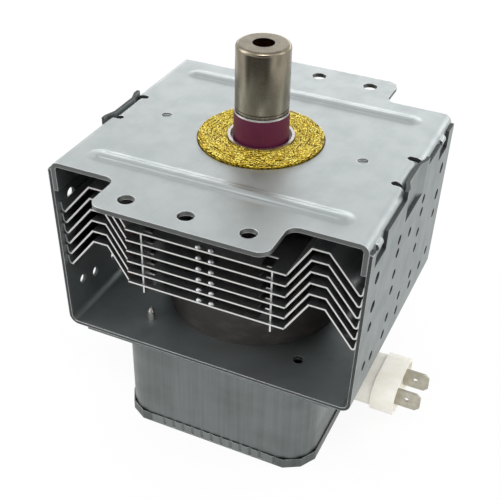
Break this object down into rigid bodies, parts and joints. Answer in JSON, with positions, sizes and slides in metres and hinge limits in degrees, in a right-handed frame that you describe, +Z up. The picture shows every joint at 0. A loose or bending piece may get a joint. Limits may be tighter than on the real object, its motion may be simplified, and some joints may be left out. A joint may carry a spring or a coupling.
{
  "type": "magnetron",
  "caption": "Microwave-oven magnetron: finned tube between ring magnets in a folded steel yoke, capped antenna with mesh gasket, eared mounting plate and filter box with tab terminals.",
  "frame": {"origin": "on the antenna axis, at the top face of the mounting plate, in the middle of the mounting holes", "axes": "+Z up along the antenna, +X to the side where the capacitor and its tabs come out, +Y to the back"},
  "size_m": [0.1034, 0.1032, 0.12],
  "materials": {
    "zinc_steel": "satin",
    "box_steel": "satin",
    "bright_steel": "satin",
    "brass_mesh": "satin",
    "nickel": "satin",
    "copper": "satin",
    "antenna_ceramic": "matte",
    "white_ceramic": "matte",
    "ferrite": "matte",
    "fin_aluminium": "satin",
    "pole_iron": "satin",
    "cathode_metal": "satin",
    "enamelled_wire": "gloss",
    "cream_plastic": "satin",
    "dark_resin": "matte",
    "tinned_brass": "satin"
  },
  "bodies": {
    "root": {"mounting_plate": "zinc_steel", "yoke": "zinc_steel", "rf_gasket": "brass_mesh", "antenna_cap": "nickel", "seal_cup": "nickel", "exhaust_tube": "copper", "antenna_ceramic": "antenna_ceramic", "antenna_lead": "copper", "upper_can": "nickel", "lower_can": "nickel", "upper_magnet": "ferrite", "lower_magnet": "ferrite", "fin_1": "fin_aluminium", "fin_2": "fin_aluminium", "fin_3": "fin_aluminium", "fin_4": "fin_aluminium", "fin_5": "fin_aluminium", "fin_6": "fin_aluminium", "anode_cylinder": "copper", "vane_1": "copper", "vane_2": "copper", "vane_3": "copper", "vane_4": "copper", "vane_5": "copper", "vane_6": "copper", "vane_7": "copper", "vane_8": "copper", "vane_9": "copper", "vane_10": "copper", "strap_top_inner": "copper", "strap_top_outer": "copper", "strap_bottom_inner": "copper", "strap_bottom_outer": "copper", "upper_pole": "pole_iron", "lower_pole": "pole_iron", "filament": "cathode_metal", "upper_hat": "cathode_metal", "lower_hat": "cathode_metal", "centre_lead": "cathode_metal", "side_lead": "cathode_metal", "stem_ceramic": "white_ceramic", "stem_strip_a": "bright_steel", "stem_strip_b": "bright_steel", "filter_box": "box_steel", "filter_lid": "box_steel", "box_screws": "bright_steel", "choke_coil_a": "enamelled_wire", "choke_coil_b": "enamelled_wire", "choke_core_a": "ferrite", "choke_core_b": "ferrite", "cap_flange": "bright_steel", "cap_rivets": "bright_steel", "cap_housing": "cream_plastic", "cap_case": "dark_resin", "cap_block": "white_ceramic", "tab_front": "tinned_brass", "tab_back": "tinned_brass"}
  },
  "joints": []
}
